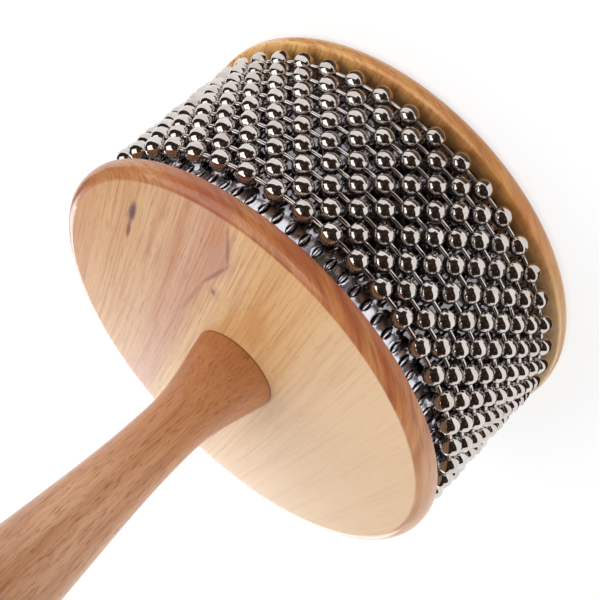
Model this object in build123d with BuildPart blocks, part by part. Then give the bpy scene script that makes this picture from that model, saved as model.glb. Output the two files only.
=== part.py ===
"""Cabasa: a hand percussion instrument, modelled as the separate pieces it is made of.

Millimetres, +Z up along the axis of the head. The origin is the centre of the end disc's
outer face, on which the cabasa stands with its handle up.
"""
import os
from math import cos, degrees, pi, radians, sin, tan

from build123d import *

# Head: two turned wooden discs on a wooden drum core
disc_diameter = 130.0
disc_thickness = 5.5
disc_outer_round = 3.5
disc_inner_round = 0.8
core_diameter = 115.0
core_length = 55.0

# Sleeve: a rolled steel sheet round the core, its two ends butted and tacked down
sheet_thickness = 0.5
sleeve_fit = 0.05
sleeve_end_gap = 0.1
seam_gap = 0.6
seam_angle = 90.0
tack_rows = 4
tack_end_margin = 5.0
tack_seam_margin = 4.0
tack_diameter = 1.2
tack_length = 9.0
tack_head_diameter = 2.6
tack_head_thickness = 0.3
tack_fit = 0.02

# Chain: closed loops of hollow beads, held together by headed links
loop_count = 9
loop_spacing = 5.2
loop_edge_gap = 0.9
chain_play = 0.65
beads_per_loop = 44
bead_diameter = 6.0
bead_wall = 0.5
link_diameter = 1.3
link_hole_fit = 0.1
link_head_diameter = 2.3
link_head_reach = 1.3

# Handle: a turned grip with a flared foot, a waist and a rounded end
handle_length = 125.0
flare_diameter = 26.2
flare_slope = -0.18
waist_diameter = 16.8
waist_height = 25.5
belly_diameter = 27.2
belly_height = 104.0
butt_diameter = 8.0
butt_slope = 0.1

# Tie bolt: a countersunk bolt through the whole head into a threaded insert in the handle
bolt_diameter = 6.0
bolt_clearance = 0.3
bolt_head_diameter = 12.0
bolt_head_angle = 90.0
bolt_head_sink = 0.3
bolt_head_fit = 0.05
bolt_engagement = 16.0
bolt_socket_width = 4.0
bolt_socket_depth = 2.0
insert_diameter = 9.0
insert_length = 18.0
insert_sink = 1.0
insert_fit = 0.03
insert_thread_fit = 0.05
handle_bore_spare = 3.0

# Levels and radii that follow from the sizes above
core_bottom = disc_thickness
core_top = core_bottom + core_length
seat_level = core_top + disc_thickness
sleeve_inner_radius = core_diameter / 2 + sleeve_fit
sleeve_outer_radius = sleeve_inner_radius + sheet_thickness
bead_radius = bead_diameter / 2
loop_radius = sleeve_outer_radius + chain_play + bead_radius
first_loop_level = core_bottom + loop_edge_gap + bead_radius
half_pitch_angle = pi / beads_per_loop
bead_pitch = 2 * loop_radius * sin(half_pitch_angle)
bolt_hole_radius = bolt_diameter / 2 + bolt_clearance
bolt_head_slope = tan(radians(bolt_head_angle / 2))
countersink_radius = bolt_head_diameter / 2 + bolt_head_fit + bolt_head_sink * bolt_head_slope


def save(piece, name):
    """Label a finished piece and write it to its own file."""
    piece.part.label = name
    export_step(piece.part, f"parts/{name}.step")


def radial_plane(radius, angle, level):
    """Plane at a point of a cylinder about Z, facing straight out of it."""
    out = Vector(cos(radians(angle)), sin(radians(angle)), 0)
    return Plane(origin=out * radius + Vector(0, 0, level), z_dir=out)


os.makedirs("parts", exist_ok=True)

# End disc: plain turned disc that the cabasa stands on, countersunk for the tie bolt
with BuildPart() as end_disc:
    with BuildSketch(Plane.XY):
        Circle(disc_diameter / 2)
    extrude(amount=disc_thickness)
    rims = end_disc.edges().filter_by(GeomType.CIRCLE).sort_by(Axis.Z)
    fillet(rims[0], disc_outer_round)
    rims = end_disc.edges().filter_by(GeomType.CIRCLE).sort_by(Axis.Z)
    fillet(rims[-1], disc_inner_round)
    with Locations(Plane(origin=(0, 0, 0), z_dir=(0, 0, -1))):
        CounterSinkHole(
            radius=bolt_hole_radius,
            counter_sink_radius=countersink_radius,
            depth=disc_thickness,
            counter_sink_angle=bolt_head_angle,
        )
save(end_disc, "end_disc")

# Handle disc: the same turned disc the other way up, with a plain hole for the tie bolt
with BuildPart() as handle_disc:
    with BuildSketch(Plane.XY.offset(core_top)):
        Circle(disc_diameter / 2)
    extrude(amount=disc_thickness)
    rims = handle_disc.edges().filter_by(GeomType.CIRCLE).sort_by(Axis.Z)
    fillet(rims[-1], disc_outer_round)
    rims = handle_disc.edges().filter_by(GeomType.CIRCLE).sort_by(Axis.Z)
    fillet(rims[0], disc_inner_round)
    with Locations(Plane.XY.offset(seat_level)):
        Hole(bolt_hole_radius, depth=disc_thickness)
save(handle_disc, "handle_disc")

# Sleeve tacks: two columns of small nails, one each side of the sheet's seam
tack_step = (core_length - 2 * tack_end_margin) / (tack_rows - 1)
tack_turn = degrees((tack_seam_margin + seam_gap / 2) / sleeve_outer_radius)
tack_places = [
    radial_plane(sleeve_outer_radius, seam_angle + side * tack_turn, core_bottom + tack_end_margin + row * tack_step)
    for side in (-1, 1)
    for row in range(tack_rows)
]
with BuildPart() as sleeve_tacks:
    with Locations(*tack_places):
        Cylinder(tack_diameter / 2, tack_length, align=(Align.CENTER, Align.CENTER, Align.MAX))
        Cylinder(tack_head_diameter / 2, tack_head_thickness, align=(Align.CENTER, Align.CENTER, Align.MIN))
save(sleeve_tacks, "sleeve_tacks")

# Drum core: a wooden cylinder that carries the sleeve and the two discs
with BuildPart() as drum_core:
    with BuildSketch(Plane.XY.offset(core_bottom)):
        Circle(core_diameter / 2)
        Circle(bolt_hole_radius, mode=Mode.SUBTRACT)
    extrude(amount=core_length)
    with Locations(*tack_places):
        Hole(tack_diameter / 2 + tack_fit, depth=tack_length + tack_fit)
save(drum_core, "drum_core")

# Steel sleeve: the sheet rolled to a cylinder, open along its seam and pierced for the tacks
with BuildPart() as steel_sleeve:
    with BuildSketch(Plane.XY.offset(core_bottom + sleeve_end_gap)):
        Circle(sleeve_outer_radius)
        Circle(sleeve_inner_radius, mode=Mode.SUBTRACT)
        with Locations(Location((0, 0, 0), (0, 0, seam_angle))):
            Rectangle(
                core_diameter,
                seam_gap,
                align=(Align.MIN, Align.CENTER),
                mode=Mode.SUBTRACT,
            )
    extrude(amount=core_length - 2 * sleeve_end_gap)
    with Locations(*tack_places):
        Hole(tack_diameter / 2 + tack_fit, depth=tack_length)
save(steel_sleeve, "steel_sleeve")

# Handle: revolved from its half outline, bored from its foot for the insert and the bolt
seat = (flare_diameter / 2, seat_level)
waist = (waist_diameter / 2, seat_level + waist_height)
belly = (belly_diameter / 2, seat_level + belly_height)
butt = (butt_diameter / 2, seat_level + handle_length)
with BuildPart() as handle:
    with BuildSketch(Plane.XZ):
        with BuildLine():
            Line((0, seat_level), seat)
            Spline(seat, waist, tangents=[(flare_slope, 1), (0, 1)])
            Spline(waist, belly, tangents=[(0, 1), (0, 1)])
            Spline(belly, butt, tangents=[(0, 1), (-1, butt_slope)])
            Polyline(butt, (0, butt[1]), (0, seat_level))
        make_face()
    revolve(axis=Axis.Z)
    with Locations(Plane(origin=(0, 0, seat_level), z_dir=(0, 0, -1))):
        Hole(insert_diameter / 2 + insert_fit, depth=insert_sink + insert_length)
        Hole(bolt_hole_radius, depth=insert_sink + insert_length + handle_bore_spare)
save(handle, "handle")

# Handle insert: a threaded brass bush, sunk just below the handle's foot
with BuildPart() as handle_insert:
    with BuildSketch(Plane.XY.offset(seat_level + insert_sink)):
        Circle(insert_diameter / 2)
        Circle(bolt_diameter / 2 + insert_thread_fit, mode=Mode.SUBTRACT)
    extrude(amount=insert_length)
save(handle_insert, "handle_insert")

# Tie bolt: countersunk head with a hexagon socket, just below the end disc's outer face
head_radius = bolt_head_diameter / 2
shank_radius = bolt_diameter / 2
head_depth = (head_radius - shank_radius) / bolt_head_slope
bolt_end = seat_level + insert_sink + bolt_engagement
with BuildPart() as tie_bolt:
    with BuildSketch(Plane.XZ):
        with BuildLine():
            Polyline(
                (0, bolt_head_sink),
                (head_radius, bolt_head_sink),
                (shank_radius, bolt_head_sink + head_depth),
                (shank_radius, bolt_end),
                (0, bolt_end),
                close=True,
            )
        make_face()
    revolve(axis=Axis.Z)
    with BuildSketch(Plane.XY.offset(bolt_head_sink)):
        RegularPolygon(bolt_socket_width / 2, 6, major_radius=False)
    extrude(amount=bolt_socket_depth, mode=Mode.SUBTRACT)
save(tie_bolt, "tie_bolt")

# Bead: a hollow steel ball, revolved about the line of the chain (Y), with a hole at each pole
link_lean = bead_radius * tan(half_pitch_angle)
link_hole_diameter = link_diameter + 2 * (link_lean + link_hole_fit)
with BuildPart() as bead:
    with BuildSketch(Plane.XY):
        Circle(bead_radius)
        Circle(bead_radius - bead_wall, mode=Mode.SUBTRACT)
        Rectangle(link_hole_diameter, bead_diameter, mode=Mode.SUBTRACT)
        Rectangle(bead_diameter, bead_diameter, align=(Align.MAX, Align.CENTER), mode=Mode.SUBTRACT)
    revolve(axis=Axis.Y)

# Link: a short pin along the chain, with a round head caught inside the bead at each end
head_offset = bead_pitch / 2 - link_head_reach
with BuildPart() as link:
    with BuildSketch(Plane.XY):
        Rectangle(link_diameter, 2 * head_offset)
        with Locations((0, -head_offset), (0, head_offset)):
            Circle(link_head_diameter / 2)
        Rectangle(bead_pitch, bead_pitch, align=(Align.MAX, Align.CENTER), mode=Mode.SUBTRACT)
    revolve(axis=Axis.Y)

# Chain loops: each has its beads half a pitch on from the loop below, so that the rows nest
for index in range(loop_count):
    level = first_loop_level + index * loop_spacing
    turn = degrees(half_pitch_angle) * (index % 2)
    with BuildPart(Plane.XY.offset(level)) as loop_beads:
        with PolarLocations(loop_radius, beads_per_loop, start_angle=turn):
            add(bead.part)
    save(loop_beads, f"loop_{index + 1}_beads")
    with BuildPart(Plane.XY.offset(level)) as loop_links:
        mid_radius = loop_radius * cos(half_pitch_angle)
        with PolarLocations(mid_radius, beads_per_loop, start_angle=turn + degrees(half_pitch_angle)):
            add(link.part)
    save(loop_links, f"loop_{index + 1}_links")
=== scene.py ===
import math
import random

import bmesh
import bpy
from mathutils import Matrix, Vector


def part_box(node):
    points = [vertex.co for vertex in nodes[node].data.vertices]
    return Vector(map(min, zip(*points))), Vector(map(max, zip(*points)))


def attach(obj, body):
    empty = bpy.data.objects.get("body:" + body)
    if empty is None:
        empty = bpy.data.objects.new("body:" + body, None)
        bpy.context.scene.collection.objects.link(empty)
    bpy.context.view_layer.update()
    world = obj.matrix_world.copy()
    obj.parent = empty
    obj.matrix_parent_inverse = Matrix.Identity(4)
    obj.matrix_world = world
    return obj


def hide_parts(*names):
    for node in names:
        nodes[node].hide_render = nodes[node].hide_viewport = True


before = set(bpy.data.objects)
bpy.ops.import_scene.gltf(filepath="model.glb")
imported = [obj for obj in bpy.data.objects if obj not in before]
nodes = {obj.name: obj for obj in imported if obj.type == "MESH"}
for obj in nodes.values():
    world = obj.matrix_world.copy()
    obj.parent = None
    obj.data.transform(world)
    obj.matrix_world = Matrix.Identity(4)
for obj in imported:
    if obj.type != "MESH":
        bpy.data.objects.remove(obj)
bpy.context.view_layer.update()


# Discs: two turned discs of pale rubberwood, sanded, rounded at the edge and sealed with clear
# satin lacquer. Each is cut from a plank, so its grain runs across it, nearly along Y.
MM = 0.001
DISC_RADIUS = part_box("handle_disc")[1].x
DISC_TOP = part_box("handle_disc")[1].z
RIM_START = DISC_RADIUS - 3.7 * MM
RIM_FULL = DISC_RADIUS - 2.8 * MM

# Tones across the plank, from -X (0) to +X (1)
HANDLE_DISC_TONES = [
    (0.08, "E6C298"), (0.30, "E4C096"), (0.45, "E0B684"), (0.54, "D8A66C"), (0.60, "DCAE78"),
    (0.630, "DEB482"), (0.662, "CA9878"), (0.70, "CE9E7E"), (0.76, "D2A478"), (0.87, "D2A268"),
    (0.97, "CC9254"),
]
# End disc: the wood's tone, with painted light that lifts it at +X, where the chain shades the inner face,
# and at -X, on the side the table lights
END_DISC_TONES_AND_LIGHT = [(0.12, "F6D2A2"), (0.32, "E0A662"), (0.58, "E2AE6E"), (0.9, "F6C678")]
HANDLE_RIM_TINT = "DEB28C"
# The end disc's rim tint is nearly white, so its rim hardly browns: painted light on that rim
END_RIM_PAINTED_LIGHT = "FFF2E0"

# Growth lines, fine lines and pores. The pores are drawn coarser than real ones, so that they show.
DISC_GRAIN = [
    (5.0, 120, 2.0, 0.50, 0.70, "C27C42", 0.48),
    (1.5, 70, 2.0, 0.51, 0.66, "B46A38", 0.40),
    (0.55, 28, 1.0, 0.52, 0.68, "A25A2C", 0.40),
    (0.40, 7, 1.0, 0.60, 0.72, "8E4E2A", 0.35),
]
RIM_GRAIN = [
    (9.0, 90, 2.0, 0.42, 0.58, "AC5A34", 0.80),
    (2.8, 90, 2.0, 0.50, 0.64, "8E4226", 0.50),
    (0.8, 40, 1.0, 0.52, 0.66, "8A4A2A", 0.22),
]
PORE_DEPTH = 0.1 * MM
PORE_RELIEF = 0.5
PORE_ROUGHNESS = 0.3

# Two dark streaks, a warm patch by the handle that is partly painted shade, the knot, a mauve tint and the
# line that bends past it
HANDLE_DISC_MARKS_AND_SHADE = [
    (47.9, -20.5, 7.5, 1.6, 10, "56200E", 1.0),
    (46.2, -11.5, 6.5, 1.0, 12, "702E14", 0.95),
    # Darker patch by the handle's foot: partly the wood's tone, partly painted shade that the handle casts
    (4.0, -26.0, 15.0, 5.0, 12, "BE7E46", 0.50),
    (18.6, -23.1, 5.0, 3.4, 20, "C08C70", 0.55),
    (18.6, -23.1, 1.9, 1.1, 20, "8C5240", 0.85),
    (23.5, -37.0, 12.0, 4.5, 8, "B98470", 0.45),
    (23.1, -45.5, 11.0, 0.9, 23, "8E5440", 0.70),
    (21.2, -30.8, 12.5, 0.9, -7, "8E5440", 0.80),
    (21.9, -12.7, 16.0, 1.0, 2, "945C44", 0.55),
]
MARK_DEPTH = 20 * MM
MARK_CORE = 0.25

# The lines lean and fan a little and sway slowly. Beside the knot the tones are pushed aside.
GRAIN_LEAN = 0.09
GRAIN_FAN = 1.8
GRAIN_SWAY = 6 * MM
SWAY_CELL = (71.43 * MM, 166.67 * MM, 71.43 * MM)
RING_TILT = 2.4
BEND_PLACE = (20 * MM, -39 * MM, DISC_TOP)
BEND_REACH = (20 * MM, 20 * MM, 100 * MM)
BEND_PUSH = 4.8 * MM

# Across the plank (0 at -X, 1 at +X) the lines grow stronger, and the rim's stain grows and fades again.
LINES_GROW = {"From Min": 0.25, "From Max": 0.72, "To Min": 0.2, "To Max": 1.1}
STAIN_GROWS = {"From Min": 0.10, "From Max": 0.24, "To Min": 0.35, "To Max": 1.0}
STAIN_FADES = {"From Min": 0.62, "From Max": 0.85, "To Min": 1.0, "To Max": 0.5}


def linear(code):
    """An sRGB hex colour as the linear RGBA that a shader takes."""
    parts = [int(code[i:i + 2], 16) / 255 for i in (0, 2, 4)]
    return [c / 12.92 if c <= 0.04045 else ((c + 0.055) / 1.055) ** 2.4 for c in parts] + [1.0]


def add_node(tree, kind, settings=None, inputs=None, stops=None):
    """Add a shader node with its settings, its inputs (values or links) and a ramp's stops."""
    node = tree.nodes.new("ShaderNode" + kind)
    for name, value in (settings or {}).items():
        setattr(node, name, value)
    for name, value in (inputs or {}).items():
        if isinstance(value, bpy.types.NodeSocket):
            tree.links.new(value, node.inputs[name])
        else:
            node.inputs[name].default_value = value
    if stops:
        marks = node.color_ramp.elements
        while len(marks) < len(stops):
            marks.new(1.0)
        for mark, (place, colour) in zip(marks, stops):
            mark.position = place
            mark.color = linear(colour)
    return node


def start_material(name):
    """An empty material and its node tree."""
    material = bpy.data.materials.new(name)
    material.use_nodes = True
    material.node_tree.nodes.clear()
    return material, material.node_tree


def dress(node_name, material):
    """Give a CAD node its finish."""
    mesh = nodes[node_name].data
    mesh.materials.clear()
    mesh.materials.append(material)


def lay_grain(tree, place, along, colour, layers, weight=None):
    """Lay streaks that run along one axis over a colour. Gives the colour and the last layer's mask.

    A layer holds the width and length of its noise cells in mm, their detail, the noise at which a
    streak starts and is full, its tone and its strength.
    """
    for width, length, detail, faint, full, tone, strength in layers:
        size = [width * MM] * 3
        size[along] = length * MM
        cells = add_node(tree, "Mapping", inputs={"Vector": place, "Scale": [1 / s for s in size]})
        noise = add_node(tree, "TexNoise", inputs={
            "Vector": cells.outputs[0], "Scale": 1.0, "Detail": detail,
        })
        mask = add_node(tree, "MapRange", inputs={
            "Value": noise.outputs["Fac"], "From Min": faint, "From Max": full, "To Max": strength,
        })
        if weight:
            mask = add_node(tree, "Math", {"operation": "MULTIPLY"}, {0: mask.outputs[0], 1: weight})
        blend = {0: mask.outputs[0], 6: colour, 7: linear(tone)}
        colour = add_node(tree, "Mix", {"data_type": "RGBA"}, blend).outputs[2]
    return colour, mask.outputs[0]


def lay_marks(tree, place, colour, marks):
    """Lay soft-edged ovals over a colour.

    A mark holds its centre, half length along Y and half width in mm, its turn, tone and strength.
    """
    for x, y, half_length, half_width, turn, tone, strength in marks:
        oval = add_node(tree, "Mapping", {"vector_type": "TEXTURE"}, {
            "Vector": place, "Location": (x * MM, y * MM, DISC_TOP), "Rotation": (0, 0, math.radians(turn)),
            "Scale": (half_width * MM, half_length * MM, MARK_DEPTH),
        })
        reach = add_node(tree, "VectorMath", {"operation": "LENGTH"}, {0: oval.outputs[0]})
        mask = add_node(tree, "MapRange", {"interpolation_type": "SMOOTHSTEP"}, {
            "Value": reach.outputs["Value"], "From Min": 1.0, "From Max": MARK_CORE, "To Max": strength,
        })
        blend = {0: mask.outputs[0], 6: colour, 7: linear(tone)}
        colour = add_node(tree, "Mix", {"data_type": "RGBA"}, blend).outputs[2]
    return colour


def lacquer(tree, colour, pores, roughness, coat, coat_roughness):
    """Finish wood with clear lacquer: a soft sheen, over pores that are rougher and lie a little lower."""
    rough = add_node(tree, "MapRange", inputs={
        "Value": pores, "To Min": roughness, "To Max": roughness + PORE_ROUGHNESS,
    })
    relief = add_node(tree, "Bump", {"invert": True}, {
        "Strength": PORE_RELIEF, "Distance": PORE_DEPTH, "Height": pores,
    })
    shader = add_node(tree, "BsdfPrincipled", inputs={
        "Base Color": colour, "Roughness": rough.outputs[0], "Normal": relief.outputs[0],
        "Specular IOR Level": 0.3, "Coat Weight": coat, "Coat Roughness": coat_roughness,
    })
    add_node(tree, "OutputMaterial", inputs={"Surface": shader.outputs[0]})


def rubberwood(name, shift_mm, face_level, tones_and_light, marks, rim_tint_and_light, rim_figure):
    """Rubberwood, sanded and lacquered: creamy and tan bands with fine lines and short dark pores.

    The shift says which part of the plank the disc is cut from.
    """
    material, tree = start_material(name)
    here = add_node(tree, "TexCoord").outputs["Object"]
    parts = add_node(tree, "SeparateXYZ", inputs={0: here}).outputs
    shift = [s * MM for s in shift_mm]
    # across = x + (lean + fan x) y
    lean = add_node(tree, "Math", {"operation": "MULTIPLY_ADD"}, {
        0: parts["X"], 1: GRAIN_FAN, 2: GRAIN_LEAN,
    })
    across = add_node(tree, "Math", {"operation": "MULTIPLY_ADD"}, {
        0: parts["Y"], 1: lean.outputs[0], 2: parts["X"],
    })
    slow = add_node(tree, "Mapping", inputs={
        "Vector": here, "Location": shift, "Scale": [1 / s for s in SWAY_CELL],
    })
    sway = add_node(tree, "TexNoise", inputs={"Vector": slow.outputs[0], "Scale": 1.0, "Detail": 0.5})
    swayed = add_node(tree, "Math", {"operation": "MULTIPLY_ADD"}, {
        0: sway.outputs["Fac"], 1: GRAIN_SWAY, 2: across.outputs[0],
    })
    # The growth rings lie nearly flat in the plank, so they show again as bands down the rim.
    depth = add_node(tree, "Math", {"operation": "SUBTRACT"}, {0: parts["Z"], 1: face_level})
    ring = add_node(tree, "Math", {"operation": "MULTIPLY_ADD"}, {
        0: depth.outputs[0], 1: RING_TILT, 2: swayed.outputs[0],
    })
    plank = add_node(tree, "CombineXYZ", inputs={"X": ring.outputs[0], "Y": parts["Y"], "Z": parts["Z"]})
    grain = add_node(tree, "VectorMath", {"operation": "ADD"}, {0: plank.outputs[0], 1: shift}).outputs[0]
    # The tones bend aside near the knot.
    oval = add_node(tree, "Mapping", {"vector_type": "TEXTURE"}, {
        "Vector": here, "Location": BEND_PLACE, "Scale": BEND_REACH,
    })
    reach = add_node(tree, "VectorMath", {"operation": "LENGTH"}, {0: oval.outputs[0]})
    push = add_node(tree, "MapRange", {"interpolation_type": "SMOOTHSTEP"}, {
        "Value": reach.outputs["Value"], "From Min": 1.0, "From Max": 0.0, "To Max": BEND_PUSH,
    })
    pushed = add_node(tree, "Math", {"operation": "ADD"}, {0: swayed.outputs[0], 1: push.outputs[0]})
    share = add_node(tree, "MapRange", inputs={
        "Value": pushed.outputs[0],
        "From Min": GRAIN_SWAY / 2 - DISC_RADIUS, "From Max": GRAIN_SWAY / 2 + DISC_RADIUS,
    }).outputs[0]
    colour = add_node(tree, "ValToRGB", inputs={"Fac": share}, stops=tones_and_light).outputs["Color"]
    density = add_node(tree, "MapRange", inputs={"Value": share, **LINES_GROW})
    colour, pores = lay_grain(tree, grain, 1, colour, DISC_GRAIN, density.outputs[0])
    colour = lay_marks(tree, here, colour, marks)
    # The rounded rim cuts across the fibres, so it takes in more lacquer and turns browner, but less so
    # at the two sides of the plank, where it runs along them.
    flat = add_node(tree, "VectorMath", {"operation": "MULTIPLY"}, {0: here, 1: (1, 1, 0)})
    radius = add_node(tree, "VectorMath", {"operation": "LENGTH"}, {0: flat.outputs[0]})
    rim = add_node(tree, "MapRange", {"interpolation_type": "SMOOTHSTEP"}, {
        "Value": radius.outputs["Value"], "From Min": RIM_START, "From Max": RIM_FULL,
    })
    grows = add_node(tree, "MapRange", inputs={"Value": share, **STAIN_GROWS})
    fades = add_node(tree, "MapRange", inputs={"Value": share, **STAIN_FADES})
    sides = add_node(tree, "Math", {"operation": "MULTIPLY"}, {0: grows.outputs[0], 1: fades.outputs[0]})
    stain = add_node(tree, "Math", {"operation": "MULTIPLY"}, {0: rim.outputs[0], 1: sides.outputs[0]})
    # On the end disc the nearly white tint makes this painted light on the rim instead of browning.
    browner = {0: stain.outputs[0], 6: colour, 7: linear(rim_tint_and_light)}
    colour = add_node(tree, "Mix", {"data_type": "RGBA", "blend_type": "MULTIPLY"}, browner).outputs[2]
    figure = add_node(tree, "Math", {"operation": "MULTIPLY"}, {0: stain.outputs[0], 1: rim_figure})
    colour, _ = lay_grain(tree, grain, 1, colour, RIM_GRAIN, figure.outputs[0])
    lacquer(tree, colour, pores, roughness=0.48, coat=0.7, coat_roughness=0.18)
    return material


handle_disc_wood = rubberwood(
    "rubberwood_handle_disc", shift_mm=(0, 0, 0), face_level=DISC_TOP, tones_and_light=HANDLE_DISC_TONES,
    marks=HANDLE_DISC_MARKS_AND_SHADE, rim_tint_and_light=HANDLE_RIM_TINT, rim_figure=1.0,
)
dress("handle_disc", handle_disc_wood)
end_disc_wood = rubberwood(
    "rubberwood_end_disc", shift_mm=(140, 60, 30), face_level=0.0, tones_and_light=END_DISC_TONES_AND_LIGHT,
    marks=[], rim_tint_and_light=END_RIM_PAINTED_LIGHT, rim_figure=0.35,
)
dress("end_disc", end_disc_wood)


# Drum core: a cylinder of glued softwood between the discs, sawn and left bare.
# The sleeve hides it, apart from a line at the seam.
CORE_WOOD = "C9A47A"
CORE_GRAIN = [
    (6.0, 160, 2.0, 0.45, 0.70, "B88C60", 0.7),
    (1.2, 60, 1.0, 0.50, 0.68, "A67A50", 0.5),
]
SAW_FURROW = 0.3 * MM


def sawn_pine(name):
    """Pine straight from the saw: dull, with broad streaks and furrows along the grain."""
    material, tree = start_material(name)
    here = add_node(tree, "TexCoord").outputs["Object"]
    colour, furrows = lay_grain(tree, here, 1, linear(CORE_WOOD), CORE_GRAIN)
    rough = add_node(tree, "MapRange", inputs={"Value": furrows, "To Min": 0.70, "To Max": 0.90})
    relief = add_node(tree, "Bump", {"invert": True}, {"Distance": SAW_FURROW, "Height": furrows})
    shader = add_node(tree, "BsdfPrincipled", inputs={
        "Base Color": colour, "Roughness": rough.outputs[0], "Normal": relief.outputs[0],
    })
    add_node(tree, "OutputMaterial", inputs={"Surface": shader.outputs[0]})
    return material


dress("drum_core", sawn_pine("sawn_pine"))


# Steel sleeve: thin bright stainless sheet, embossed all over with staggered almond-shaped bumps
# that the beads rattle on, rolled round the core and left open along its seam.
SLEEVE_LOW, SLEEVE_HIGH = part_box("steel_sleeve")
SHEET_INNER = 57.55 * MM
SHEET_VALLEY = 57.85 * MM
BUMP_HEIGHT = 0.50 * MM
BUMP_HALF_LENGTH = 2.4 * MM
BUMP_HALF_WIDTH = 0.95 * MM
BUMPS_AROUND = 84
BUMP_ROW_STEP = 4.8 * MM
BUMP_ROW_TOP = 54.7 * MM
BUMP_PHASE = math.radians(-86.5)
BUMP_PITCH = 2 * math.pi / BUMPS_AROUND
SEAM_ANGLE = math.radians(90)
SEAM_HALF_GAP = 0.3 * MM
SHEET_COLUMNS = BUMPS_AROUND * 12
COARSE_ROWS = 40
FINE_ROWS = 34
SHOWN_FROM = 51.5 * MM
CREST_SPACING = 0.55
STEEL_CLEAN = "F0EEF6"
STEEL_HAZED = "E0DEE8"
# Grey of the sheet under the beads: painted shade of the beads
STEEL_SHADED_UNDER_BEADS = "8C888E"
# Near-black outline of the bumps: grime, and painted shade at their foot
GRIME_AND_SHADE = "080606"
SHOWN_ROUGHNESS = 0.22
RUBBED_ROUGHNESS = 0.07
HAZE_CELL = 6 * MM
UNDER_BEADS_START = 54 * MM
UNDER_BEADS_FULL = 50 * MM
# Outline of grime and painted shade round a bump, in shares of its half width: where it lies, how far it
# fades and how far it is full
OUTLINE_REACH = 0.85
OUTLINE_FADE = 0.50
OUTLINE_FULL = 0.15
THINNEST_TIP = 1e-4


def bump_height(angle, z):
    """Height of the embossing at a point of the sheet: the tallest almond that covers it."""
    best = 0.0
    nearest = round((z - BUMP_ROW_TOP) / BUMP_ROW_STEP)
    for row in (nearest - 1, nearest, nearest + 1):
        along = (z - BUMP_ROW_TOP - row * BUMP_ROW_STEP) / BUMP_HALF_LENGTH
        if abs(along) < 1:
            turns = (angle - BUMP_PHASE) / BUMP_PITCH - 0.5 * (row % 2)
            across = (turns - round(turns)) * BUMP_PITCH * SHEET_VALLEY
            width = BUMP_HALF_WIDTH * (1 - along * along)
            if abs(across) < width:
                best = max(best, BUMP_HEIGHT * (1 - (across / width) ** 2) * math.sqrt(1 - along * along))
    return best


def crowd(angle):
    """Crowd the sheet's columns towards the crests of the bumps, where it bends most."""
    halves = 2 * (angle - BUMP_PHASE) / BUMP_PITCH
    off = halves - round(halves)
    spread = CREST_SPACING + 4 * (1 - CREST_SPACING) * off * off
    return BUMP_PHASE + (round(halves) + off * spread) * BUMP_PITCH / 2


def row_level(row):
    """Height of a row of the sheet: rows lie closer where no bead hides it."""
    if row <= COARSE_ROWS:
        return SLEEVE_LOW.z + (SHOWN_FROM - SLEEVE_LOW.z) * row / COARSE_ROWS
    return SHOWN_FROM + (SLEEVE_HIGH.z - SHOWN_FROM) * (row - COARSE_ROWS) / FINE_ROWS


def stand_at(vert, radius, angle, z):
    """Put a vertex on the rolled sheet."""
    vert.co = (radius * math.cos(angle), radius * math.sin(angle), z)


def new_piece(name, bm, body, material, stands_for):
    """Make a bmesh into a piece that rides on a body in place of a CAD node."""
    mesh = bpy.data.meshes.new(name)
    bm.to_mesh(mesh)
    bm.free()
    mesh.materials.append(material)
    piece = bpy.data.objects.new(name, mesh)
    bpy.context.scene.collection.objects.link(piece)
    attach(piece, body)
    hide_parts(stands_for)


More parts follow.
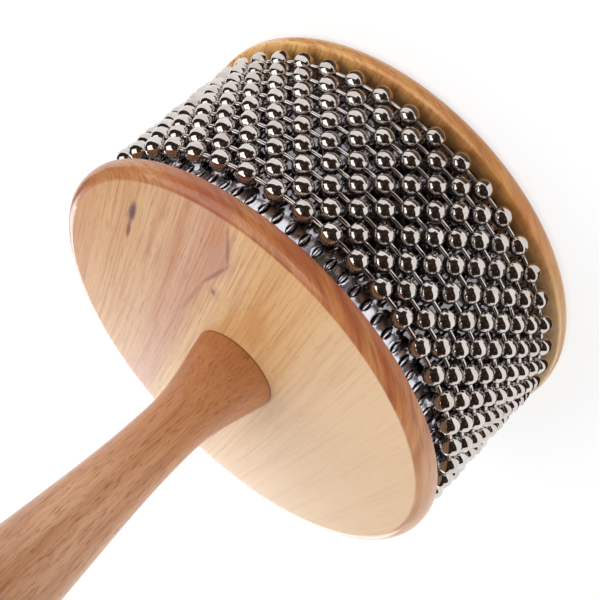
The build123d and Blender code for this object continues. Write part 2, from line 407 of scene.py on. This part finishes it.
def embossed_stainless(name):
    """Rolled stainless steel: satin where it shows, polished where the beads rub it and greyed there with
    painted shade of the beads, with a dark line of grime and painted shade round each bump."""
    material, tree = start_material(name)
    here = add_node(tree, "TexCoord").outputs["Object"]
    parts = add_node(tree, "SeparateXYZ", inputs={0: here}).outputs
    haze = add_node(tree, "TexNoise", inputs={"Vector": here, "Scale": 1 / HAZE_CELL, "Detail": 3.0})
    tint = add_node(tree, "ValToRGB", inputs={"Fac": haze.outputs["Fac"]}, stops=[
        (0.35, STEEL_CLEAN), (0.75, STEEL_HAZED),
    ])
    # Under the beads the sheet is polished, and its colour is greyed with painted shade of the beads.
    under_beads = add_node(tree, "MapRange", {"interpolation_type": "SMOOTHSTEP"}, {
        "Value": parts["Z"], "From Min": UNDER_BEADS_START, "From Max": UNDER_BEADS_FULL,
    }).outputs[0]
    shaded_under_beads = {0: under_beads, 6: tint.outputs["Color"], 7: linear(STEEL_SHADED_UNDER_BEADS)}
    colour = add_node(tree, "Mix", {"data_type": "RGBA"}, shaded_under_beads).outputs[2]
    # Each bump's outline, in the two sets of staggered rows: aside is the way from the bump's middle in
    # pitches, along the way towards its tip, where its width falls to nothing.
    angle = add_node(tree, "Math", {"operation": "ARCTAN2"}, {0: parts["Y"], 1: parts["X"]})
    for shift in (0, 1):
        turns = add_node(tree, "Math", {"operation": "MULTIPLY_ADD"}, {
            0: angle.outputs[0], 1: 1 / BUMP_PITCH, 2: -BUMP_PHASE / BUMP_PITCH - 0.5 * shift,
        })
        aside = add_node(tree, "Math", {"operation": "PINGPONG"}, {0: turns.outputs[0], 1: 0.5})
        rows = add_node(tree, "Math", {"operation": "MULTIPLY_ADD"}, {
            0: parts["Z"], 1: 1 / BUMP_ROW_STEP, 2: -BUMP_ROW_TOP / BUMP_ROW_STEP - shift,
        })
        off = add_node(tree, "Math", {"operation": "PINGPONG"}, {0: rows.outputs[0], 1: 1.0})
        along = add_node(tree, "Math", {"operation": "MULTIPLY"}, {
            0: off.outputs[0], 1: BUMP_ROW_STEP / BUMP_HALF_LENGTH,
        }).outputs[0]
        square = add_node(tree, "Math", {"operation": "MULTIPLY"}, {0: along, 1: along})
        width = add_node(tree, "MapRange", inputs={
            "Value": square.outputs[0],
            "To Min": BUMP_HALF_WIDTH / (BUMP_PITCH * SHEET_VALLEY), "To Max": THINNEST_TIP,
        })
        reach = add_node(tree, "Math", {"operation": "DIVIDE"}, {0: aside.outputs[0], 1: width.outputs[0]})
        gap = add_node(tree, "Math", {"operation": "SUBTRACT"}, {0: reach.outputs[0], 1: OUTLINE_REACH})
        away = add_node(tree, "Math", {"operation": "ABSOLUTE"}, {0: gap.outputs[0]})
        foot = add_node(tree, "MapRange", {"interpolation_type": "SMOOTHSTEP"}, {
            "Value": away.outputs[0], "From Min": OUTLINE_FADE, "From Max": OUTLINE_FULL,
        })
        # The outline is grime, and painted shade at the foot of the bump.
        grime_and_shade = {0: foot.outputs[0], 6: colour, 7: linear(GRIME_AND_SHADE)}
        colour = add_node(tree, "Mix", {"data_type": "RGBA"}, grime_and_shade).outputs[2]
    polish = add_node(tree, "MapRange", inputs={
        "Value": under_beads, "To Min": SHOWN_ROUGHNESS, "To Max": RUBBED_ROUGHNESS,
    })
    shader = add_node(tree, "BsdfPrincipled", inputs={
        "Base Color": colour, "Metallic": 1.0, "Roughness": polish.outputs[0],
    })
    add_node(tree, "OutputMaterial", inputs={"Surface": shader.outputs[0]})
    return material


sheet = bmesh.new()
gap_angle = SEAM_HALF_GAP / SHEET_VALLEY
bmesh.ops.create_grid(sheet, x_segments=SHEET_COLUMNS, y_segments=COARSE_ROWS + FINE_ROWS, size=0.5)
ends = [e for e in sheet.edges if e.is_boundary and abs(e.verts[0].co.y - e.verts[1].co.y) < 1e-6]
for vert in sheet.verts:
    angle = crowd(SEAM_ANGLE + gap_angle + (vert.co.x + 0.5) * 2 * (math.pi - gap_angle))
    z = row_level(round((vert.co.y + 0.5) * (COARSE_ROWS + FINE_ROWS)))
    stand_at(vert, SHEET_VALLEY + bump_height(angle, z), angle, z)
turned_in = bmesh.ops.extrude_edge_only(sheet, edges=ends)["geom"]
for vert in [v for v in turned_in if isinstance(v, bmesh.types.BMVert)]:
    stand_at(vert, SHEET_INNER, math.atan2(vert.co.y, vert.co.x), vert.co.z)
bmesh.ops.bridge_loops(sheet, edges=[e for e in turned_in if isinstance(e, bmesh.types.BMEdge)])
bmesh.ops.holes_fill(sheet, edges=[e for e in sheet.edges if e.is_boundary], sides=0)
bmesh.ops.recalc_face_normals(sheet, faces=sheet.faces)
for face in sheet.faces:
    face.smooth = len(face.verts) == 4
stainless = embossed_stainless("stainless_embossed")
new_piece("embossed_sleeve", sheet, "head_and_handle", stainless, "steel_sleeve")


# Fasteners: zinc-plated tacks along the seam, the zinc-plated tie bolt through the head, and the
# turned brass insert in the handle's foot that the bolt screws into.
def bright_metal(name, clean, dull, haze_mm, roughness, smudge):
    """Plated or turned metal: it mirrors the room, and handling has dulled it in faint patches."""
    material, tree = start_material(name)
    here = add_node(tree, "TexCoord").outputs["Object"]
    haze = add_node(tree, "TexNoise", inputs={"Vector": here, "Scale": 1 / (haze_mm * MM), "Detail": 3.0})
    rough = add_node(tree, "MapRange", inputs={
        "Value": haze.outputs["Fac"], "From Min": 0.35, "From Max": 0.7,
        "To Min": roughness, "To Max": smudge,
    })
    tint = add_node(tree, "ValToRGB", inputs={"Fac": haze.outputs["Fac"]}, stops=[
        (0.35, clean), (0.75, dull),
    ])
    shader = add_node(tree, "BsdfPrincipled", inputs={
        "Base Color": tint.outputs["Color"], "Metallic": 1.0, "Roughness": rough.outputs[0],
    })
    add_node(tree, "OutputMaterial", inputs={"Surface": shader.outputs[0]})
    return material


zinc = bright_metal("zinc_plated_steel", "B9BCC0", "A3A6AA", haze_mm=4, roughness=0.28, smudge=0.42)
brass = bright_metal("turned_brass", "C9A557", "B08C44", haze_mm=4, roughness=0.26, smudge=0.38)
dress("sleeve_tacks", zinc)
dress("tie_bolt", zinc)
dress("handle_insert", brass)


# Bead chain: hollow balls pressed from thin steel strip, joined by headed pins and nickel plated.
# Nine closed loops lie side by side on the sleeve, each half a pitch on from its neighbour.
LOOPS = 9
BEADS = 44
HALF_PITCH = math.pi / BEADS
RING_RADIUS = 61.7 * MM
BEAD_RADIUS = 3.0 * MM
BEAD_SIDES = 12
BEAD_BANDS = 6
HOLE_RADIUS = 0.96 * MM
LINK_RADIUS = 0.65 * MM
LINK_HEAD_RADIUS = 1.15 * MM
LINK_HEAD_REACH = 1.3 * MM
LINK_SIDES = 8
LINK_HEAD_BANDS = 3
# The chain is loose: beads stray along their loop, and a loop rises and falls a few times a turn.
BEAD_WANDER = 0.20 * MM
FEWEST_WAVES = 2
MOST_WAVES = 5
CHAIN_SEED = 44


def arc(radius, first, last, steps):
    """Points (off axis, along axis) of a circle between two angles from the axis."""
    turns = [first + (last - first) * i / steps for i in range(steps + 1)]
    return [(radius * math.sin(t), radius * math.cos(t)) for t in turns]


def turned_shape(name, outline, sides):
    """A small closed shape turned about the line of the chain (Y) from its half outline."""
    bm = bmesh.new()
    line = [bm.verts.new((r, y, 0)) for r, y in outline]
    edges = [bm.edges.new(pair) for pair in zip(line, line[1:])]
    bmesh.ops.spin(
        bm, geom=line + edges, cent=(0, 0, 0), axis=(0, 1, 0),
        angle=2 * math.pi, steps=sides, use_merge=True,
    )
    bmesh.ops.remove_doubles(bm, verts=bm.verts, dist=1e-6)
    bmesh.ops.holes_fill(bm, edges=[e for e in bm.edges if e.is_boundary], sides=0)
    bmesh.ops.recalc_face_normals(bm, faces=bm.faces)
    for face in bm.faces:
        face.smooth = True
    mesh = bpy.data.meshes.new(name)
    bm.to_mesh(mesh)
    bm.free()
    return mesh


def bead_outline():
    """Half outline of a bead, from the edge of one hole to the edge of the other."""
    edge = math.asin(HOLE_RADIUS / BEAD_RADIUS)
    return arc(BEAD_RADIUS, edge, math.pi - edge, BEAD_BANDS)


def link_outline(half_length):
    """Half outline of a link: a pin with a round head inside the bead at each end."""
    neck = math.asin(LINK_RADIUS / LINK_HEAD_RADIUS)
    head = arc(LINK_HEAD_RADIUS, 0, math.pi - neck, LINK_HEAD_BANDS)
    middle = half_length - LINK_HEAD_REACH
    return [(r, y + middle) for r, y in head] + [(r, -y - middle) for r, y in reversed(head)]


def chain_of(pattern, places):
    """One mesh with a copy of a small shape at each place of a loop."""
    bm = bmesh.new()
    for place in places:
        copy = pattern.copy()
        copy.transform(place)
        bm.from_mesh(copy)
        bpy.data.meshes.remove(copy)
    return bm


def facing(direction):
    """Turns a shape's Y axis along a direction."""
    return direction.to_track_quat("Y", "Z").to_matrix().to_4x4()


nickel = bright_metal("nickel_plated_steel", "DED7D2", "C8BFB8", haze_mm=7, roughness=0.06, smudge=0.10)
bead_mesh = turned_shape("bead", bead_outline(), BEAD_SIDES)
link_mesh = turned_shape("link", link_outline(RING_RADIUS * math.sin(HALF_PITCH)), LINK_SIDES)
rng = random.Random(CHAIN_SEED)
for loop in range(1, LOOPS + 1):
    low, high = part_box(f"loop_{loop}_beads")
    level = (low.z + high.z) / 2
    turn = HALF_PITCH * ((loop - 1) % 2)
    waves = [(rng.randint(FEWEST_WAVES, MOST_WAVES), rng.uniform(0, 2 * math.pi)) for _ in range(2)]
    centres = []
    for k in range(BEADS):
        angle = turn + 2 * HALF_PITCH * k + rng.uniform(-0.5, 0.5) * BEAD_WANDER / RING_RADIUS
        lift = sum(math.sin(n * angle + phase) for n, phase in waves) * BEAD_WANDER / 2
        centres.append(Vector((RING_RADIUS * math.cos(angle), RING_RADIUS * math.sin(angle), level + lift)))
    bead_places = []
    link_places = []
    for before, here, after in zip(centres[-1:] + centres, centres, centres[1:] + centres[:1]):
        roll = Matrix.Rotation(rng.uniform(0, 2 * math.pi), 4, "Y")
        bead_places.append(Matrix.Translation(here) @ facing(after - before) @ roll)
        link_places.append(Matrix.Translation((here + after) / 2) @ facing(after - here))
    body = f"chain_loop_{loop}"
    beads = chain_of(bead_mesh, bead_places)
    new_piece(f"bead_loop_{loop}", beads, body, nickel, f"loop_{loop}_beads")
    links = chain_of(link_mesh, link_places)
    new_piece(f"link_loop_{loop}", links, body, nickel, f"loop_{loop}_links")


# Handle: a grip turned from a browner, flecked wood such as beech, flared at its foot and lacquered
# satin. Its grain runs along Z, and its short pores show as dark flecks.
FOOT_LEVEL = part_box("handle")[0].z
HANDLE_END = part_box("handle")[1].z
# From the foot (0) to the end (1)
HANDLE_TONES = [(0.0, "BC7844"), (0.22, "CC905E"), (0.5, "D6A47C"), (0.75, "C08E68"), (1.0, "BC8A64")]
# The flecks of the last layer are drawn coarser than real ones, so that they show.
HANDLE_GRAIN = [
    (5.0, 90, 2.0, 0.48, 0.70, "AC6C3C", 0.50),
    (1.4, 45, 2.0, 0.52, 0.68, "A4683C", 0.40),
    (0.50, 16, 1.0, 0.52, 0.70, "9A5A34", 0.40),
    (0.55, 4.0, 1.0, 0.58, 0.72, "8E4A28", 0.55),
]
# Painted shade: the dark line in the crease where the foot meets the disc
JOINT_SHADE = "6E3E1E"
JOINT_FADE = 0.4 * MM
JOINT_FULL = 0.1 * MM


def flecked_beech(name):
    """Beech, turned and lacquered: brown at the foot, paler at the grip, and flecked along its length.

    A thin dark line of painted shade shows in the crease where the foot meets the disc.
    """
    material, tree = start_material(name)
    here = add_node(tree, "TexCoord").outputs["Object"]
    level = add_node(tree, "SeparateXYZ", inputs={0: here}).outputs["Z"]
    height = add_node(tree, "MapRange", inputs={
        "Value": level, "From Min": FOOT_LEVEL, "From Max": HANDLE_END,
    })
    base = add_node(tree, "ValToRGB", inputs={"Fac": height.outputs[0]}, stops=HANDLE_TONES)
    colour, pores = lay_grain(tree, here, 2, base.outputs["Color"], HANDLE_GRAIN)
    joint = add_node(tree, "MapRange", inputs={
        "Value": level, "From Min": FOOT_LEVEL + JOINT_FADE, "From Max": FOOT_LEVEL + JOINT_FULL,
    })
    # Painted shade in the crease at the foot.
    dark = {0: joint.outputs[0], 6: colour, 7: linear(JOINT_SHADE)}
    colour = add_node(tree, "Mix", {"data_type": "RGBA"}, dark).outputs[2]
    lacquer(tree, colour, pores, roughness=0.48, coat=0.6, coat_roughness=0.22)
    return material


dress("handle", flecked_beech("turned_beech"))


# Studio: a white table under a white sky, and the dark flags and white cards that a photographer
# sets round chrome to give it edges. Only mirrors see those, and they shade nothing. The flags in a
# ring round the head are painted shadow of the head on the table; the cards glow: painted reflections.
TABLE_RADIUS = 3.0
PAPER = "E1E1E1"
PAPER_SHADED = "959595"
PAPER_GLOW = 0.74
SKY_LIGHT = 0.5
ROOM_CELL = 250 * MM
ROOM_TONES = [(0.38, "1E1815"), (0.55, "382D28"), (0.68, "6A584C")]
CURTAIN_RADIUS = 1.6
FLAG_LEVEL = 0.6 * MM
# Outlines in mm of two flags in front of the head: one lies on the table, one hangs above it
FRONT_EDGE = [
    (-17, -112), (20, -114), (64, -158), (100, -216), (230, -350), (1500, -350),
    (1500, -1500), (-1500, -1500), (-1500, -350), (-192, -350), (-38, -198),
]
ABOVE_EDGE = [(-150, -220), (85, -220), (85, -134), (12, -134), (12, -80), (-150, -80)]
ABOVE_LEVEL = 120 * MM
# Dark flags on the table round the head, painted shadow of the head on the table that only mirrors see:
# first and last azimuth, inner and outer radius in mm
TABLE_SHADOW_FLAGS = {
    "table_shadow_right": (-76, -28, 66, 84),
    "table_shadow_front": (-98, -76, 66, 90),
    "table_shadow_left": (-210, -126, 66, 84),
}
# Upright white cards: the two ends of the foot and the height, in mm
CARDS = {
    "card_right": ((42, -110), (150, 10), 34),
    "card_left": ((-130, -40), (-130, 120), 110),
}


def seen_directly(tree):
    """1 where the camera, a mirror or glass looks at the surface, 0 for the light it throws."""
    path = add_node(tree, "LightPath").outputs
    mirrored = add_node(tree, "Math", {"operation": "MAXIMUM"}, {
        0: path["Is Camera Ray"], 1: path["Is Glossy Ray"],
    })
    clear = {0: mirrored.outputs[0], 1: path["Is Transmission Ray"]}
    return add_node(tree, "Math", {"operation": "MAXIMUM"}, clear).outputs[0]


def stage_piece(name, bm, material):
    """A piece of the studio, which isn't part of the object."""
    mesh = bpy.data.meshes.new(name)
    bm.to_mesh(mesh)
    bm.free()
    mesh.materials.append(material)
    piece = bpy.data.objects.new(name, mesh)
    bpy.context.scene.collection.objects.link(piece)
    return piece


def mirrored_only(name, bm, material):
    """A flag or a card: mirrors see it, but it neither shows nor shades."""
    piece = stage_piece(name, bm, material)
    piece.visible_camera = False
    piece.visible_diffuse = False
    piece.visible_shadow = False


# White paper, matt: it looks nearly white, shows the object's shadow and throws light as paper does.
white_paper, tree = start_material("white_paper")
paper = add_node(tree, "BsdfDiffuse", inputs={"Color": linear(PAPER)})
shaded = add_node(tree, "BsdfDiffuse", inputs={"Color": linear(PAPER_SHADED)})
glow = add_node(tree, "Emission", inputs={"Strength": PAPER_GLOW})
lifted = add_node(tree, "AddShader", inputs={0: shaded.outputs[0], 1: glow.outputs[0]})
look = add_node(tree, "MixShader", inputs={
    0: seen_directly(tree), 1: paper.outputs[0], 2: lifted.outputs[0],
})
add_node(tree, "OutputMaterial", inputs={"Surface": look.outputs[0]})
table = bmesh.new()
bmesh.ops.create_circle(table, cap_ends=True, radius=TABLE_RADIUS, segments=64)
stage_piece("table", table, white_paper)

world = bpy.data.worlds.new("studio")
bpy.context.scene.world = world
world.use_nodes = True
tree = world.node_tree
tree.nodes.clear()
ambient = add_node(tree, "Background", inputs={"Color": linear("FFFFFF"), "Strength": SKY_LIGHT})
white = add_node(tree, "Background", inputs={"Color": linear("FFFFFF"), "Strength": 1.0})
sky = add_node(tree, "MixShader", inputs={
    0: seen_directly(tree), 1: ambient.outputs[0], 2: white.outputs[0],
})
add_node(tree, "OutputWorld", inputs={"Surface": sky.outputs[0]})

# Dark room: brown-black shapes, dim enough to give the beads their dark middles
dark_room, tree = start_material("dark_room")
here = add_node(tree, "TexCoord").outputs["Object"]
shapes = add_node(tree, "TexNoise", inputs={"Vector": here, "Scale": 1 / ROOM_CELL, "Detail": 3.0})
gloom = add_node(tree, "ValToRGB", inputs={"Fac": shapes.outputs["Fac"]}, stops=ROOM_TONES)
dim = add_node(tree, "Emission", inputs={"Color": gloom.outputs["Color"]})
add_node(tree, "OutputMaterial", inputs={"Surface": dim.outputs[0]})

# White card: a plain white glow that lights nothing, a painted reflection for the bright arcs at the sides
# of the beads
glow_card, tree = start_material("glow_card")
add_node(tree, "OutputMaterial", inputs={"Surface": add_node(tree, "Emission").outputs[0]})

# The curtain is the upper half of a ball, round the object, the lamps and the camera.
curtain = bmesh.new()
bmesh.ops.create_uvsphere(curtain, u_segments=32, v_segments=16, radius=CURTAIN_RADIUS)
bmesh.ops.delete(curtain, geom=[v for v in curtain.verts if v.co.z < -10 * MM], context="VERTS")
mirrored_only("flag_curtain", curtain, dark_room)
front = bmesh.new()
front.faces.new([front.verts.new((x * MM, y * MM, FLAG_LEVEL)) for x, y in FRONT_EDGE])
mirrored_only("flag_front", front, dark_room)
above = bmesh.new()
above.faces.new([above.verts.new((x * MM, y * MM, ABOVE_LEVEL)) for x, y in ABOVE_EDGE])
mirrored_only("flag_above", above, dark_room)
# Painted shadow of the head on the table, seen only in mirrors
for name, (first, last, inner, outer) in TABLE_SHADOW_FLAGS.items():
    ring = bmesh.new()
    turn = Matrix.Rotation(math.radians(first), 3, "Z")
    ends = [ring.verts.new(turn @ Vector((r * MM, 0, FLAG_LEVEL))) for r in (inner, outer)]
    bmesh.ops.spin(
        ring, geom=ends + [ring.edges.new(ends)], cent=(0, 0, 0), axis=(0, 0, 1),
        angle=math.radians(last - first), steps=24,
    )
    mirrored_only(name, ring, dark_room)
for name, (first, last, height) in CARDS.items():
    card = bmesh.new()
    foot = [card.verts.new((x * MM, y * MM, FLAG_LEVEL)) for x, y in (first, last)]
    top = [card.verts.new((x * MM, y * MM, height * MM)) for x, y in (last, first)]
    card.faces.new(foot + top)
    mirrored_only(name, card, glow_card)


# Camera: a short telephoto close to the head, at the photograph's angle, and rolled so that the
# handle points to the lower left. The small shift sets the framing.
CAMERA_PLACE = Vector((8.4, -347.7, 218.9)) * MM
CAMERA_AIM = Vector((-9.32, 1.81, 37.4)) * MM
CAMERA_ROLL = math.radians(-134.17)
camera_data = bpy.data.cameras.new("camera")
camera_data.lens = 83.48
camera_data.sensor_width = 36.0
camera_data.shift_x = -0.0369
camera_data.shift_y = 0.0503
camera_data.clip_start = 10 * MM
camera = bpy.data.objects.new("camera", camera_data)
bpy.context.scene.collection.objects.link(camera)
aim = (CAMERA_AIM - CAMERA_PLACE).to_track_quat("-Z", "Y").to_matrix().to_4x4()
camera.matrix_world = Matrix.Translation(CAMERA_PLACE) @ aim @ Matrix.Rotation(CAMERA_ROLL, 4, "Z")
bpy.context.scene.camera = camera


# Softboxes: rectangular lamps round the head, each at an azimuth and elevation seen from its centre
# and facing it. Mirrors don't see the front and side ones, which are there for the wood.
HEAD_CENTRE = Vector((0, 0, 33)) * MM


def softbox(name, azimuth, elevation, distance, width, height, radiance, colour="FFFFFF"):
    """A rectangular soft lamp; its power follows from how bright its face is to look at."""
    data = bpy.data.lights.new(name, "AREA")
    data.shape = "RECTANGLE"
    data.size = width
    data.size_y = height
    data.energy = radiance * math.pi * width * height
    data.color = linear(colour)[:3]
    turn, rise = math.radians(azimuth), math.radians(elevation)
    out = Vector((math.cos(turn) * math.cos(rise), math.sin(turn) * math.cos(rise), math.sin(rise)))
    lamp = bpy.data.objects.new(name, data)
    aim = out.to_track_quat("Z", "Y").to_matrix().to_4x4()
    lamp.matrix_world = Matrix.Translation(HEAD_CENTRE + out * distance) @ aim
    bpy.context.scene.collection.objects.link(lamp)
    return lamp


# Azimuth and elevation in degrees; distance, width and height in metres; radiance
front_lamp = softbox("softbox_front", -46, 8, 0.75, 0.70, 0.20, 2.0, colour="EFECFF")
front_lamp.visible_glossy = False
softbox("softbox_top", -8, 62, 0.75, 0.82, 0.82, 1.65)
softbox("softbox_small", -68, 68, 0.75, 0.28, 0.28, 1.25)
side_lamp = softbox("softbox_side", -178, 9, 0.80, 1.10, 0.32, 2.2)
side_lamp.visible_glossy = False
softbox("softbox_back", 92, 11.5, 0.90, 0.90, 0.31, 4.0)

bpy.context.scene.view_settings.view_transform = "Standard"
